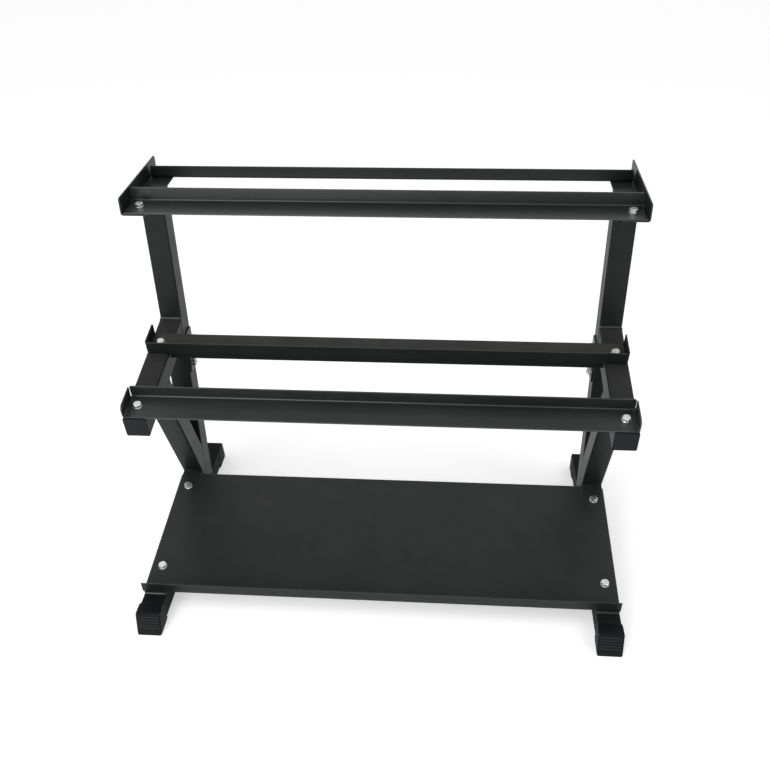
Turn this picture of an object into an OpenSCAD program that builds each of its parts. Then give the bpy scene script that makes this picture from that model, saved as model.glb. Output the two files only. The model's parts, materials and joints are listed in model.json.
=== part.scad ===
// Three-tier dumbbell rack: two welded side frames of square tube carry two
// tiers of folded angle rails and a sloping folded-sheet shelf.
// Millimetres, +Z up, -Y is the front. The origin lies on the floor, midway
// between the side frames and midway along their base tubes.

/* [Side frames] */
// Width over the outer faces of the two side frames
frame_w = 1092; // [900:2:1300]
// Length of each base tube
base_len = 665; // [620:1:760]
// Outer size of the square tube
tube_w = 52; // [46:1:56]
// Wall of the square tube
tube_wall = 2; // [1.5:0.5:3]
// Outer corner radius of the square tube
tube_r = 4; // [3.5:0.5:6]
// Distance of the posts' middle behind the middle of the base tubes
post_y = 179; // [140:1:220]
// Height of the top end of the posts
post_top_z = 869; // [800:1:1000]
// Height of the joint between lower and upper post
seam_z = 456; // [440:1:470]
// Reach of the fillet welds between tubes
weld_leg = 5; // [3:0.5:6]

/* [Arms and braces] */
// Height of the arm's top face where it meets the post
arm_z = 558; // [540:1:620]
// Slope of the arms and of the middle tier, front end down
arm_tilt = 10.5; // [6:0.5:14]
// Length of the arm tube along its top face
arm_len = 333; // [300:1:360]
// Thickness of the head of the arm's end plug
plug_head_t = 4; // [3:0.5:6]
// Depth of the end plug inside the tube
plug_depth = 16; // [10:1:24]
// Distance from the post to the brace's front edge along the arm's underside
brace_reach = 209; // [190:1:225]
// Height at which the brace's front face meets the post
brace_foot_z = 57; // [55:1:80]

/* [Post joint] */
// Length of the plate that joins the posts
splice_len = 112; // [100:2:130]
// Width of the plate that joins the posts
splice_w = 40; // [34:1:44]
// Thickness of the plate that joins the posts
splice_t = 4; // [3:0.5:6]
// Spacing of the two bolts through the post joint
splice_pitch = 70; // [60:1:80]

/* [Rails] */
// Sheet thickness of rails and brackets
rail_t = 3; // [2:0.5:4]
// Inner bend radius of folded sheet
bend_r = 3; // [2:0.5:4]
// Height of the lip on the top front rail
top_front_h = 32; // [24:1:34]
// Depth of the seat of the top front rail
top_front_seat = 73; // [64:1:78]
// Height of the lip on the top rear rail
top_rear_h = 28.5; // [20:0.5:34]
// Depth of the seat of the top rear rail
top_rear_seat = 49; // [44:1:60]
// Height of the lip and end tabs on the middle front rail
mid_front_h = 31.5; // [28:0.5:44]
// Depth of the seat of the middle front rail
mid_front_seat = 68.5; // [64:0.5:72]
// Height of the lip and end tabs on the middle rear rail
mid_rear_h = 33; // [28:0.5:44]
// Depth of the seat of the middle rear rail
mid_rear_seat = 68.5; // [64:0.5:72]
// Distance of the middle rails' ends inside the frames' outer faces
rail_inset = 1; // [0:0.5:4]
// Distance of the lips' ends inside the end tabs
lip_inset = 2.5; // [0:0.5:6]
// Radius of the lips' upper corners
lip_r = 5; // [2:0.5:8]
// Radius of the front rail's end tabs at their free corners
front_tab_r = 12; // [4:1:16]
// Radius of the rear rail's end tabs at their free corners
rear_tab_r = 4; // [2:1:16]
// Distance from the top front rail's lip to its bolts
top_front_hole = 37; // [32:0.5:40]
// Distance from the top rear rail's lip to its bolts
top_rear_hole = 24; // [21:1:28]
// Distance from the middle rails' lips to their bolts
mid_hole = 34.5; // [32:0.5:40]
// Overhang of the middle front rail beyond the arms' ends
mid_over = 0.5; // [0:0.5:4]
// Distance between the lips of the two middle rails, along the arm
mid_lip_gap = 137; // [120:1:150]
// Gap between an end tab and the lip's bend
tab_gap = 1; // [1:0.5:4]
// How far an end tab's edge leans towards the lip
tab_lean = 2; // [0:0.5:2.5]
// Height of the bar that stiffens the middle rear rail
stiffener_h = 16; // [10:1:20]
// Thickness of the bar that stiffens the middle rear rail
stiffener_t = 3; // [2:0.5:5]
// Clearance between the stiffener's ends and the arms
stiffener_gap = 1; // [0.5:0.5:4]

/* [Top brackets] */
// Length of the top brackets
bracket_len = 262; // [250:2:290]
// Overhang of the top brackets in front of the posts
bracket_front = 113.5; // [105:0.5:130]
// Height of the bracket's end plate over its seat
plate_h = 36; // [33:1:50]
// Radius of the end plate's upper corners
plate_r = 6; // [3:0.5:10]
// Overhang of the end plate beyond the outer face of the post
bracket_over = 4; // [3:0.5:8]
// Distance of the bracket's inner edge outside the post's inner face
bracket_inset = 2; // [0:0.5:5]
// Distance from the front end of the bracket to the top front rail
top_front_inset = 1.5; // [0:0.5:4]
// Distance from the rear end of the bracket to the top rear rail
top_rear_inset = 1.5; // [0:0.5:4]

/* [Shelf] */
// Sheet thickness of the shelf
shelf_t = 2; // [1.5:0.5:3]
// Slope of the shelf, front edge down
shelf_tilt = 6.8; // [3:0.2:9]
// Distance of the shelf's front edge behind the front ends of the base tubes
shelf_setback = 70; // [60:1:120]
// Height of the shelf's front lip
shelf_lip = 31; // [20:1:45]
// Height of the fold that hangs from the shelf's rear edge
shelf_drop = 18; // [12:1:30]
// Height of the shelf's top face at its front lip
shelf_front_z = 66; // [64:1:90]
// Gap between the shelf's rear edge and the posts
shelf_post_gap = 34; // [33:1:60]
// Distance of the shelf's side edges inside the ends of its front lip
shelf_inset = 2.5; // [0:0.5:4]
// Width of the notch between the shelf's rear fold and its rear corners
shelf_notch = 2; // [1:0.5:5]
// Gap between the shelf's rear corners and the braces
shelf_brace_gap = 1; // [0.5:0.5:4]
// Distance from the shelf's front lip to its front bolts
shelf_hole_front = 74; // [50:1:90]
// Distance from the shelf's rear edge to its rear bolts
shelf_hole_rear = 49.5; // [40:0.5:70]
// Distance of the shelf's bolts inside the middle of the base tubes
shelf_hole_in = 2; // [0:0.5:4]
// Thickness of the bars that carry the shelf
bearer_t = 4; // [3:0.5:6]
// Distance of the bearer's ends inside the shelf's front and rear folds
bearer_inset = 4; // [2:0.5:10]

/* [Feet] */
// Wall of the rubber feet
foot_wall = 2.5; // [2:0.5:5]
// Thickness of the rubber under the base tube
foot_floor = 3; // [3:0.5:8]
// Length of the feet along the tube
foot_len = 48; // [40:1:70]
// Length of the tapered shoulder of the feet
foot_shoulder = 18; // [8:1:24]
// Thickness of the rubber at the shoulder's thin end
foot_thin = 1; // [0.6:0.2:2]
// Radius of the long edges of the feet
foot_r = 4; // [3:0.5:6]
// Radius of the upper edge at the end of the feet
foot_nose_r = 6; // [4:0.5:8]
// Clearance between a foot and its tube
foot_fit = 0.15; // [0.1:0.05:0.3]
// Number of grip grooves across the end of a foot
groove_count = 5; // [3:1:5]
// Spacing of the grip grooves
groove_pitch = 9; // [7:0.5:10]
// Width of a grip groove
groove_w = 1.6; // [1:0.2:2.4]
// Depth of a grip groove
groove_d = 0.8; // [0.6:0.1:1.6]

/* [Fasteners] */
// Radius of the bolts' shanks
bolt_r = 5; // [4:0.5:6]
// Width over the flats of bolt heads and nuts
hex_af = 17; // [14:1:19]
// Height of a bolt head
head_h = 6.4; // [5:0.2:8]
// Height of a nut
nut_h = 8; // [6:0.5:10]
// Outer radius of a washer
washer_r = 10; // [9:0.5:11]
// Thickness of a washer
washer_t = 2; // [1.5:0.5:2.5]
// Radial clearance of the bolt holes
hole_clear = 0.5; // [0.2:0.1:0.8]
// Bolt end that stands out of its nut
bolt_tail = 2.5; // [1:0.5:5]

/* [Hidden] */
$fn = 48;
eps = 0.01;
thread_clear = 0.05;
head_turn = 0.3;
frame_x = (frame_w - tube_w) / 2;
inner_x = frame_w / 2 - tube_w;
post_front = post_y - tube_w / 2;
base_top = foot_floor + tube_w;
hole_r = bolt_r + hole_clear;
fold_r = rail_t + bend_r;
cut_len = 2 * base_len;

// Middle tier, in the arm's own frame: y runs back along the slope
mid_front_lip = mid_front_seat - mid_over - arm_len;
mid_rear_lip = mid_front_lip + mid_lip_gap;
mid_bolt_ys = [mid_front_lip - mid_hole, mid_rear_lip + mid_hole];
arm_under_z = arm_z - tube_w / cos(arm_tilt);

// Brace: its front face runs from the post up to the arm's underside
brace_head_y = post_front - brace_reach * cos(arm_tilt) + tube_w * sin(arm_tilt);
brace_head_z = arm_z - brace_reach * sin(arm_tilt) - tube_w * cos(arm_tilt);
brace_run = [post_front - brace_head_y, brace_head_z - brace_foot_z];
brace_lean = atan2(brace_run[0], brace_run[1]);
brace_len = norm(brace_run);

// Top tier
seat_z = post_top_z + rail_t;
plate_x = frame_w / 2 + bracket_over;
bracket_y0 = post_front - bracket_front;
bracket_y1 = bracket_y0 + bracket_len;
top_rail_w = 2 * (plate_x - fold_r);
top_front_lip = bracket_y0 + top_front_inset + top_front_seat;
top_rear_lip = bracket_y1 - top_rear_inset - top_rear_seat;
top_bolt_ys = [top_front_lip - top_front_hole, top_rear_lip + top_rear_hole];

// Shelf, in its own frame: the origin is its rear top edge, -y runs forward
shelf_w = frame_w - 2 * shelf_inset;
shelf_fold_r = shelf_t + bend_r;
shelf_rear_y = post_front - shelf_post_gap;
shelf_front_y = shelf_setback - base_len / 2;
shelf_depth = (shelf_rear_y - shelf_front_y) / cos(shelf_tilt);
shelf_rear_z = shelf_front_z + shelf_depth * sin(shelf_tilt);
shelf_brace_room = shelf_post_gap - (shelf_rear_z - brace_foot_z) * tan(brace_lean);
shelf_corner = (shelf_brace_room - shelf_brace_gap)
    / (cos(shelf_tilt) + sin(shelf_tilt) * tan(brace_lean));
shelf_bolt_x = frame_x - shelf_hole_in;
shelf_bolt_ys = [-shelf_depth + shelf_hole_front, -shelf_hole_rear];

// Bearer: a bent bar under each end of the shelf
bearer_front_y = shelf_front_y + (shelf_t + bearer_inset) * cos(shelf_tilt);
bearer_rear_y = shelf_rear_y - (shelf_t + bearer_inset) * cos(shelf_tilt);

// End plug: its hollow body and the ribs that grip the tube
plug_body_w = tube_w - 2 * tube_wall - 3;
plug_wall = 2.5;
plug_step = 1;
plug_rib_w = tube_w - 2 * tube_wall - 0.2;
plug_rib_t = 1;
plug_rib_pitch = 4;

// Post joint
splice_zs = [seam_z - splice_pitch / 2, seam_z + splice_pitch / 2];
splice_grip = washer_t + tube_w + splice_t;

// ---- shared shapes ----

// Rectangle with round corners, centred
module rounded_plate(w, h, r) {
    square([w - 2 * r, h], center = true);
    square([w, h - 2 * r], center = true);
    for (x = [-1, 1], y = [-1, 1])
        translate([x * (w / 2 - r), y * (h / 2 - r)])
            circle(r);
}

module round_square(w, r) {
    rounded_plate(w, w, r);
}

// Rectangle on the x axis with its two upper corners round
module round_top(w, h, r) {
    translate([-w / 2, 0])
        square([w, h - r]);
    translate([-w / 2 + r, 0])
        square([w - 2 * r, h]);
    for (x = [-1, 1])
        translate([x * (w / 2 - r), h - r])
            circle(r);
}

module tube_solid(len) {
    linear_extrude(len)
        round_square(tube_w, tube_r);
}

module tube_cavity(len) {
    linear_extrude(len)
        round_square(tube_w - 2 * tube_wall, tube_r - tube_wall);
}

// Extrudes a (y, z) outline along X, centred
module along_x(len) {
    rotate([90, 0, 90])
        linear_extrude(len, center = true)
            children();
}

// Folded angle: the lip stands on the y axis, the seat lies along the x axis
module fold_profile(lip, seat, t) {
    r = t + bend_r;
    translate([r, 0])
        square([seat - r, t]);
    translate([0, r])
        square([t, lip - r]);
    intersection() {
        square(r);
        translate([r, r])
            difference() {
                circle(r);
                circle(bend_r);
            }
    }
}

// Builds a piece for the right side frame, mirrored for the left one
module on_side(side) {
    mirror([side < 0 ? 1 : 0, 0, 0])
        children();
}

// Arm frame: origin on the post's front face, -Y runs forward and down
module on_arm() {
    translate([0, post_front, arm_z])
        rotate([arm_tilt, 0, 0])
            children();
}

module on_shelf() {
    translate([0, shelf_rear_y, shelf_rear_z])
        rotate([shelf_tilt, 0, 0])
            children();
}

// Everything behind the post's front face
module behind_post_face() {
    translate([0, post_front, 0])
        cube([cut_len, base_len, 2 * post_top_z]);
}

// Weld bead along an edge parallel to X
module bead() {
    rotate([0, 90, 0])
        cylinder(r = weld_leg, h = tube_w - 2 * tube_r, center = true);
}

// Hexagon with turned corners, standing on z = 0
module hex_block(h) {
    corner_r = hex_af / 2 / cos(30);
    intersection() {
        cylinder(r = corner_r, h = h, $fn = 6);
        cylinder(r1 = corner_r + h, r2 = hex_af / 2 - head_turn, h = h + eps);
    }
}

// Bolt with its head standing on z = 0 and its shank running down
module bolt(grip) {
    hex_block(head_h);
    translate([0, 0, -(grip + nut_h + bolt_tail)])
        cylinder(r = bolt_r, h = grip + nut_h + bolt_tail + eps);
}

module washer() {
    difference() {
        cylinder(r = washer_r, h = washer_t);
        translate([0, 0, -1])
            cylinder(r = hole_r, h = washer_t + 2);
    }
}

module nut() {
    difference() {
        hex_block(nut_h);
        translate([0, 0, -1])
            cylinder(r = bolt_r + thread_clear, h = nut_h + 2);
    }
}

module bolt_hole(depth) {
    translate([0, 0, -depth])
        cylinder(r = hole_r, h = 2 * depth);
}

// ---- side frames ----

module base_tube(side) {
    color("#2b2b2a")
        on_side(side)
            translate([frame_x, base_len / 2, foot_floor + tube_w / 2])
                rotate([90, 0, 0])
                    difference() {
                        tube_solid(base_len);
                        translate([0, 0, -1])
                            tube_cavity(base_len + 2);
                    }
}

// Rubber boot over the end of a base tube; end is -1 in front, 1 at the rear
module foot(side, end) {
    w = tube_w + 2 * foot_wall;
    h = base_top + foot_wall;
    color("#1c1c1c")
        on_side(side)
            mirror([0, end > 0 ? 1 : 0, 0])
                translate([frame_x, -base_len / 2 - foot_wall, 0])
                    difference() {
                        intersection() {
                            translate([0, foot_len, h / 2])
                                rotate([90, 0, 0])
                                    linear_extrude(foot_len)
                                        rounded_plate(w, h, foot_r);
                            along_x(w + 2)
                                foot_side(h);
                            linear_extrude(h)
                                foot_plan(w);
                        }
                        translate([0, foot_len + 1, foot_floor + tube_w / 2])
                            rotate([90, 0, 0])
                                linear_extrude(foot_len + 1 - foot_wall + foot_fit)
                                    round_square(tube_w + 2 * foot_fit, tube_r);
                        for (i = [1 : groove_count])
                            translate([0, 0, h - foot_nose_r - (i - 0.5) * groove_pitch])
                                cube([w - 2 * foot_r, 2 * groove_d, groove_w], center = true);
                    }
}

// Side view of a foot: round nose, tapered shoulder
module foot_side(h) {
    translate([foot_nose_r, h - foot_nose_r])
        circle(foot_nose_r);
    polygon([
        [0, 0], [foot_len, 0], [foot_len, base_top + foot_thin], [foot_len - foot_shoulder, h],
        [foot_nose_r, h], [foot_nose_r, h - foot_nose_r], [0, h - foot_nose_r]
    ]);
}

// Plan of a foot: round front corners, tapered shoulder
module foot_plan(w) {
    thin_x = tube_w / 2 + foot_thin;
    for (x = [-1, 1])
        translate([x * (w / 2 - foot_r), foot_r])
            circle(foot_r);
    polygon([
        [-w / 2 + foot_r, 0], [w / 2 - foot_r, 0], [w / 2 - foot_r, foot_r], [w / 2, foot_r],
        [w / 2, foot_len - foot_shoulder], [thin_x, foot_len], [-thin_x, foot_len],
        [-w / 2, foot_len - foot_shoulder], [-w / 2, foot_r], [-w / 2 + foot_r, foot_r]
    ]);
}

// Length of post from z0 to z1 with the holes of the post joint
module post_tube(z0, z1) {
    difference() {
        children();
        translate([frame_x, post_y, z0 - 1])
            tube_cavity(z1 - z0 + 2);
        for (z = splice_zs)
            translate([frame_x, post_y, z])
                rotate([0, 90, 0])
                    bolt_hole(tube_w);
    }
}

module lower_post(side) {
    color("#2e2e2d")
        on_side(side)
            post_tube(base_top, seam_z) {
                union() {
                    translate([frame_x, post_y, base_top])
                        tube_solid(seam_z - base_top);
                    intersection() {
                        translate([frame_x, post_y + tube_w / 2, base_top])
                            bead();
                        translate([0, post_y, base_top])
                            cube([frame_w, tube_w, tube_w]);
                    }
                }
            }
}

module upper_post(side) {
    color("#2e2e2d")
        on_side(side)
            post_tube(seam_z, post_top_z)
                translate([frame_x, post_y, seam_z])
                    tube_solid(post_top_z - seam_z);
}

module splice_plate(side) {
    color("#242423")
        on_side(side)
            difference() {
                translate([inner_x - splice_t, post_y, seam_z])
                    rotate([90, 0, 90])
                        linear_extrude(splice_t)
                            rounded_plate(splice_w, splice_len, tube_r);
                for (z = splice_zs)
                    translate([inner_x, post_y, z])
                        rotate([0, 90, 0])
                            bolt_hole(2 * splice_t);
            }
}

// Arm: mitred to the post, with its weld bead and the middle rails' holes
module arm(side) {
    color("#333332")
        on_side(side)
            difference() {
                on_arm() {
                    translate([frame_x, 0, -tube_w / 2])
                        rotate([90, 0, 0])
                            tube_solid(arm_len);
                    translate([frame_x, 0, 0])
                        bead();
                }
                on_arm()
                    translate([frame_x, tube_w, -tube_w / 2])
                        rotate([90, 0, 0])
                            tube_cavity(arm_len + 2 * tube_w);
                on_arm()
                    for (y = mid_bolt_ys)
                        translate([frame_x, y, -tube_w / 2])
                            bolt_hole(tube_w);
                behind_post_face();
            }
}

// Ribbed plastic plug in the arm's open end
module arm_plug(side) {
    color("#191919")
        on_side(side)
            on_arm()
                translate([frame_x, -arm_len, -tube_w / 2])
                    rotate([90, 0, 0]) {
                        linear_extrude(plug_head_t - plug_step)
                            round_square(tube_w, tube_r);
                        linear_extrude(plug_head_t)
                            round_square(tube_w - 2 * plug_step, tube_r - plug_step);
                        difference() {
                            translate([0, 0, -plug_depth])
                                linear_extrude(plug_depth + plug_step)
                                    plug_section(plug_body_w);
                            translate([0, 0, -plug_depth - 1])
                                linear_extrude(plug_depth + 1)
                                    plug_section(plug_body_w - 2 * plug_wall);
                        }
                        for (z = [plug_rib_t - plug_depth : plug_rib_pitch : -plug_rib_pitch])
                            translate([0, 0, z])
                                plug_rib();
                    }
}

module plug_rib() {
    difference() {
        linear_extrude(plug_rib_t)
            plug_section(plug_rib_w);
        translate([0, 0, -1])
            linear_extrude(plug_rib_t + 2)
                plug_section(plug_body_w - plug_wall);
    }
}

module plug_section(w) {
    round_square(w, tube_r - tube_wall);
}

// Space that a brace may fill: in front of the post and under the arm
module brace_bay() {
    far_y = post_front - 2 * arm_len;
    along_x(cut_len)
        polygon([
            [post_front, base_top], [post_front, arm_under_z],
            [far_y, arm_under_z - 2 * arm_len * tan(arm_tilt)], [far_y, base_top]
        ]);
}

module on_brace() {
    translate([frame_x, post_front, brace_foot_z])
        rotate([brace_lean, 0, 0])
            translate([0, tube_w / 2, 0])
                children();
}

module brace(side) {
    color("#333332")
        on_side(side)
            difference() {
                intersection() {
                    on_brace()
                        translate([0, 0, -2 * tube_w])
                            tube_solid(brace_len + 4 * tube_w);
                    brace_bay();
                }
                on_brace()
                    translate([0, 0, -3 * tube_w])
                        tube_cavity(brace_len + 6 * tube_w);
            }
}

// ---- top tier ----

module top_bracket(side) {
    leg = tube_w + bracket_over - bracket_inset;
    h = plate_h + rail_t;
    color("#2f2f2e")
        on_side(side)
            difference() {
                intersection() {
                    translate([plate_x, bracket_y1, post_top_z])
                        rotate([90, 0, 0])
                            linear_extrude(bracket_len)
                                mirror([1, 0])
                                    fold_profile(h, leg, rail_t);
                    translate([0, (bracket_y0 + bracket_y1) / 2, post_top_z])
                        along_x(2 * plate_x + 2)
                            round_top(bracket_len, h, plate_r);
                }
                for (y = top_bolt_ys)
                    translate([frame_x, y, post_top_z])
                        bolt_hole(2 * rail_t);
            }
}

module top_front_rail() {
    color("#3a3a38")
        difference() {
            translate([0, top_front_lip, seat_z])
                along_x(top_rail_w)
                    mirror([1, 0])
                        fold_profile(top_front_h, top_front_seat, rail_t);
            for (x = [-1, 1])
                translate([x * frame_x, top_bolt_ys[0], seat_z])
                    bolt_hole(2 * rail_t);
        }
}

module top_rear_rail() {
    color("#3a3a38")
        difference() {
            translate([0, top_rear_lip, seat_z])
                along_x(top_rail_w)
                    fold_profile(top_rear_h, top_rear_seat, rail_t);
            for (x = [-1, 1])
                translate([x * frame_x, top_bolt_ys[1], seat_z])
                    bolt_hole(2 * rail_t);
        }
}

// ---- middle tier ----

// Rail with upturned ends, built with its lip at y = 0 and its seat along +y.
// The sheet is slit between lip and end tab, so that both can be folded up.
module tabbed_rail(lip, seat, tab_r) {
    w = frame_w - 2 * rail_inset;
    along_x(w - 2 * fold_r)
        fold_profile(lip - lip_r, seat, rail_t);
    translate([0, rail_t, fold_r])
        rotate([90, 0, 0])
            linear_extrude(rail_t)
                round_top(w - 2 * lip_inset, lip - fold_r, lip_r);
    for (x = [-1, 1])
        intersection() {
            translate([x * w / 2, seat, 0])
                rotate([90, 0, 0])
                    linear_extrude(seat)
                        mirror([x > 0 ? 1 : 0, 0])
                            fold_profile(lip, 2 * fold_r, rail_t);
            along_x(w + 2)
                tab_side(lip, seat, tab_r);
        }
}

// Side view of an end tab: slit edge at the lip, round free corner
module tab_side(lip, seat, r) {
    slit_y = fold_r + tab_gap;
    translate([seat - r, lip - r])
        circle(r);
    polygon([
        [slit_y, 0], [seat, 0], [seat, lip - r], [seat - r, lip - r], [seat - r, lip],
        [slit_y - tab_lean, lip], [slit_y, fold_r]
    ]);
}

module mid_front_rail() {
    color("#353534")
        difference() {
            on_arm()
                translate([0, mid_front_lip, 0])
                    mirror([0, 1, 0])
                        tabbed_rail(mid_front_h, mid_front_seat, front_tab_r);
            mid_rail_holes(mid_bolt_ys[0]);
        }
}

module mid_rear_rail() {
    color("#353534")
        difference() {
            on_arm()
                translate([0, mid_rear_lip, 0])
                    tabbed_rail(mid_rear_h, mid_rear_seat, rear_tab_r);
            mid_rail_holes(mid_bolt_ys[1]);
        }
}

// Flat bar on edge, welded under the seat just behind the lip, between the arms
module mid_rear_stiffener() {
    color("#2c2c2b")
        on_arm()
            translate([0, mid_rear_lip + fold_r + stiffener_t / 2, -stiffener_h / 2])
                cube([2 * (inner_x - stiffener_gap), stiffener_t, stiffener_h], center = true);
}

module mid_rail_holes(y) {
    on_arm()
        for (x = [-1, 1])
            translate([x * frame_x, y, 0])
                bolt_hole(2 * rail_t);
}

// ---- shelf ----

// Folded sheet: lip up in front over the full width, stiffening fold down at
// the rear between the side frames, flat corners reaching back to the braces
module shelf() {
    corner_len = shelf_corner + 2 * shelf_fold_r;
    corner_w = shelf_w / 2 - inner_x;
    corner_x = inner_x + corner_w / 2;
    color("#30302f")
        on_shelf()
            difference() {
                union() {
                    translate([0, -shelf_depth, -shelf_t]) {
                        along_x(frame_w)
                            fold_profile(shelf_lip, shelf_fold_r + shelf_t, shelf_t);
                        along_x(shelf_w)
                            translate([shelf_fold_r, 0])
                                square([shelf_depth - 2 * shelf_fold_r, shelf_t]);
                    }
                    along_x(2 * (inner_x - shelf_notch))
                        mirror([1, 1])
                            fold_profile(3 * shelf_fold_r, shelf_drop, shelf_t);
                    for (x = [-1, 1])
                        translate([x * corner_x, shelf_corner - corner_len / 2, -shelf_t / 2])
                            cube([corner_w, corner_len, shelf_t], center = true);
                }
                for (x = [-1, 1], y = shelf_bolt_ys)
                    translate([x * shelf_bolt_x, y, 0])
                        bolt_hole(2 * shelf_t);
            }
}

// Height of the shelf's underside at a given y
function under_shelf(y) = shelf_rear_z - (shelf_rear_y - y) * tan(shelf_tilt)
    - shelf_t / cos(shelf_tilt);

// Bent flat bar: two feet on the base tube and a sloping seat for the shelf
module shelf_bearer(side) {
    t = bearer_t;
    drop = t / cos(shelf_tilt);
    color("#2a2a29")
        on_side(side)
            difference() {
                intersection() {
                    union() {
                        translate([frame_x, 0, 0])
                            along_x(tube_w)
                                difference() {
                                    polygon([
                                        [bearer_front_y, base_top], [bearer_rear_y, base_top],
                                        [bearer_rear_y, under_shelf(bearer_rear_y)],
                                        [bearer_front_y, under_shelf(bearer_front_y)]
                                    ]);
                                    polygon([
                                        [bearer_front_y + t, base_top - 1],
                                        [bearer_rear_y - t, base_top - 1],
                                        [bearer_rear_y - t, under_shelf(bearer_rear_y - t) - drop],
                                        [bearer_front_y + t, under_shelf(bearer_front_y + t) - drop]
                                    ]);
                                }
                        for (y = [bearer_front_y, bearer_rear_y])
                            translate([frame_x, y, base_top])
                                bead();
                    }
                    translate([0, -base_len / 2, base_top])
                        cube([frame_w, base_len, post_top_z]);
                }
                on_shelf()
                    for (y = shelf_bolt_ys)
                        translate([shelf_bolt_x, y, 0])
                            bolt_hole(3 * bearer_t);
            }
}

// ---- fasteners ----

// Places one fastener over each bolt of the tier, z = 0 on the rail's seat
module at_top_bolts(z) {
    for (x = [-1, 1], y = top_bolt_ys)
        translate([x * frame_x, y, seat_z + rail_t + z])
            children();
}

module at_mid_bolts(z) {
    on_arm()
        for (x = [-1, 1], y = mid_bolt_ys)
            translate([x * frame_x, y, rail_t + z])
                children();
}

module at_shelf_bolts(z) {
    on_shelf()
        for (x = [-1, 1], y = shelf_bolt_ys)
            translate([x * shelf_bolt_x, y, z])
                children();
}

// z = 0 on the post's outer face, +z outward
module at_splice_bolts(z) {
    for (side = [-1, 1], h = splice_zs)
        on_side(side)
            translate([frame_w / 2 + z, post_y, h])
                rotate([0, 90, 0])
                    children();
}

module hang() {
    mirror([0, 0, 1])
        children();
}

module top_rail_bolts() {
    color("#b9bbb8")
        at_top_bolts(washer_t)
            bolt(washer_t + 2 * rail_t);
}

module top_rail_washers() {
    color("#c4c6c3")
        at_top_bolts(0)
            washer();
}

module top_rail_nuts() {
    color("#a9aba8")
        at_top_bolts(-2 * rail_t)
            hang()
                nut();
}

module mid_rail_bolts() {
    color("#b9bbb8")
        at_mid_bolts(washer_t)
            bolt(washer_t + rail_t + tube_w);
}

module mid_rail_washers() {
    color("#c4c6c3")
        at_mid_bolts(0)
            washer();
}

module mid_rail_nuts() {
    color("#a9aba8")
        at_mid_bolts(-rail_t - tube_w)
            hang()
                nut();
}

module shelf_bolts() {
    color("#b9bbb8")
        at_shelf_bolts(washer_t)
            bolt(washer_t + shelf_t + bearer_t);
}

module shelf_washers() {
    color("#c4c6c3")
        at_shelf_bolts(0)
            washer();
}

module shelf_nuts() {
    color("#a9aba8")
        at_shelf_bolts(-shelf_t - bearer_t)
            hang()
                nut();
}

module splice_bolts() {
    color("#b9bbb8")
        at_splice_bolts(washer_t)
            bolt(splice_grip);
}

module splice_washers() {
    color("#c4c6c3")
        at_splice_bolts(0)
            washer();
}

module splice_nuts() {
    color("#a9aba8")
        at_splice_bolts(-tube_w - splice_t)
            hang()
                nut();
}

base_tube(-1);  // base_tube_left
base_tube(1);  // base_tube_right
foot(-1, -1);  // foot_front_left
foot(1, -1);  // foot_front_right
foot(-1, 1);  // foot_rear_left
foot(1, 1);  // foot_rear_right
lower_post(-1);  // lower_post_left
lower_post(1);  // lower_post_right
upper_post(-1);  // upper_post_left
upper_post(1);  // upper_post_right
arm(-1);  // arm_left
arm(1);  // arm_right
arm_plug(-1);  // arm_plug_left
arm_plug(1);  // arm_plug_right
brace(-1);  // brace_left
brace(1);  // brace_right
splice_plate(-1);  // splice_plate_left
splice_plate(1);  // splice_plate_right
top_bracket(-1);  // top_bracket_left
top_bracket(1);  // top_bracket_right
top_front_rail();
top_rear_rail();
mid_front_rail();
mid_rear_rail();
mid_rear_stiffener();
shelf();
shelf_bearer(-1);  // shelf_bearer_left
shelf_bearer(1);  // shelf_bearer_right
top_rail_bolts();
top_rail_washers();
top_rail_nuts();
mid_rail_bolts();
mid_rail_washers();
mid_rail_nuts();
shelf_bolts();
shelf_washers();
shelf_nuts();
splice_bolts();
splice_washers();
splice_nuts();
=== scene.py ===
# %% [markdown]
# # A dumbbell rack in satin black powder coat
#
# The rack comes from a CAD model: square tube, folded sheet, rubber boots and
# zinc plated bolts, every piece already in its place. This lesson dresses it.
# It starts with an empty file, loads the CAD pieces as a fixed frame, and keeps
# the box round them, so that the finished rack can be measured against it.

import json
import random
from math import atan2, cos, pi, radians, sin, sqrt, tan

import bmesh
import bpy
from mathutils import Matrix, Vector

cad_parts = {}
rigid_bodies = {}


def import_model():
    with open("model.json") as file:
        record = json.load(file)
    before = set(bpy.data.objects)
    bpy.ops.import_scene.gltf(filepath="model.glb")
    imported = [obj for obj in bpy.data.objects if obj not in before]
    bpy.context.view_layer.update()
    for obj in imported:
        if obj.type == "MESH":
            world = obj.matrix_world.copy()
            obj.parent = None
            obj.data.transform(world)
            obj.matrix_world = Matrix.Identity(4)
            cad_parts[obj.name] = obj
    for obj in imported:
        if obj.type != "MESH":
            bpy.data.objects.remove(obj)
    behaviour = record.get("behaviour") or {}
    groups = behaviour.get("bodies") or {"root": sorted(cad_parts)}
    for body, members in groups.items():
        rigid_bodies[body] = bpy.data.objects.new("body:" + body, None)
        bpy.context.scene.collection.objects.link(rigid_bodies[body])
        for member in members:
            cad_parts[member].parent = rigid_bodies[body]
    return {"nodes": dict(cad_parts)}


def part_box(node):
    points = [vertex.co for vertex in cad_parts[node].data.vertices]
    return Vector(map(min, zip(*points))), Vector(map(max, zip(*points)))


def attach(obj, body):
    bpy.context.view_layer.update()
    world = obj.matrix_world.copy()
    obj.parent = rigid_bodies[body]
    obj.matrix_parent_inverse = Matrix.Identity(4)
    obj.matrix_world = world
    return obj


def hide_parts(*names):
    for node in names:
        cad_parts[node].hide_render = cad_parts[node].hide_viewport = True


for leftover in list(bpy.data.objects):
    bpy.data.objects.remove(leftover)

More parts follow.
